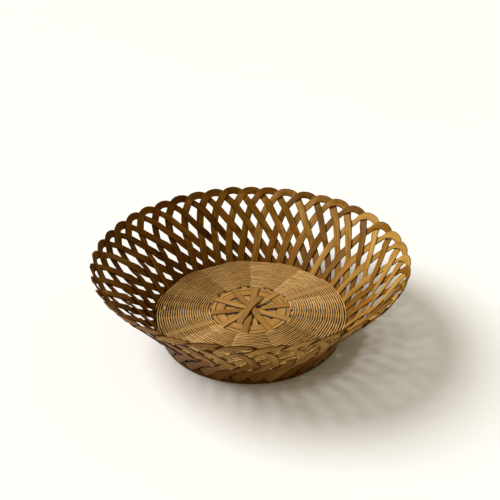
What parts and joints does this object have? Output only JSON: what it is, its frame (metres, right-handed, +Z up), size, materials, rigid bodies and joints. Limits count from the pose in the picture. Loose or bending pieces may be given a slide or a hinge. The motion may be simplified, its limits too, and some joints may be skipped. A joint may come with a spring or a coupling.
{
  "type": "bread basket",
  "caption": "Round openwork bread basket of flat cane splints: a scalloped lattice wall flares up from a finely woven floor on a low foot.",
  "frame": {"origin": "middle of the foot's underside, on the surface that the basket stands on", "axes": "+Z up through the middle of the floor and the open mouth; +X and +Y lie in the ground plane, +X to the right of the view and +Y away from it"},
  "size_m": [0.2558, 0.2558, 0.0745],
  "materials": {
    "wall_cane": "flat split cane, stained warm brown, satin on the skin side",
    "floor_cane": "flat split cane, straw tan, dry satin",
    "fine_reed": "fine round reed, straw tan, matt"
  },
  "bodies": {
    "root": {"wall_stake_01": "wall_cane", "wall_stake_02": "wall_cane", "wall_stake_03": "wall_cane", "wall_stake_04": "wall_cane", "wall_stake_05": "wall_cane", "wall_stake_06": "wall_cane", "wall_stake_07": "wall_cane", "wall_stake_08": "wall_cane", "wall_stake_09": "wall_cane", "wall_stake_10": "wall_cane", "wall_stake_11": "wall_cane", "wall_stake_12": "wall_cane", "wall_stake_13": "wall_cane", "wall_stake_14": "wall_cane", "wall_stake_15": "wall_cane", "wall_stake_16": "wall_cane", "wall_stake_17": "wall_cane", "wall_stake_18": "wall_cane", "wall_stake_19": "wall_cane", "wall_stake_20": "wall_cane", "wall_stake_21": "wall_cane", "wall_stake_22": "wall_cane", "wall_stake_23": "wall_cane", "wall_stake_24": "wall_cane", "wall_stake_25": "wall_cane", "wall_stake_26": "wall_cane", "wall_stake_27": "wall_cane", "wall_stake_28": "wall_cane", "wall_stake_29": "wall_cane", "wall_stake_30": "wall_cane", "wall_stake_31": "wall_cane", "wall_stake_32": "wall_cane", "wall_stake_33": "wall_cane", "wall_stake_34": "wall_cane", "wall_stake_35": "wall_cane", "wall_stake_36": "wall_cane", "wall_stake_37": "wall_cane", "wall_stake_38": "wall_cane", "wall_stake_39": "wall_cane", "wall_stake_40": "wall_cane", "floor_spoke_01": "floor_cane", "floor_spoke_02": "floor_cane", "floor_spoke_03": "floor_cane", "floor_spoke_04": "floor_cane", "floor_spoke_05": "floor_cane", "floor_spoke_06": "floor_cane", "floor_spoke_07": "floor_cane", "floor_spoke_08": "floor_cane", "floor_spoke_09": "floor_cane", "floor_spoke_10": "floor_cane", "floor_ring_ribbon": "floor_cane", "floor_weave": "fine_reed", "foot_hoop": "wall_cane"}
  },
  "joints": []
}
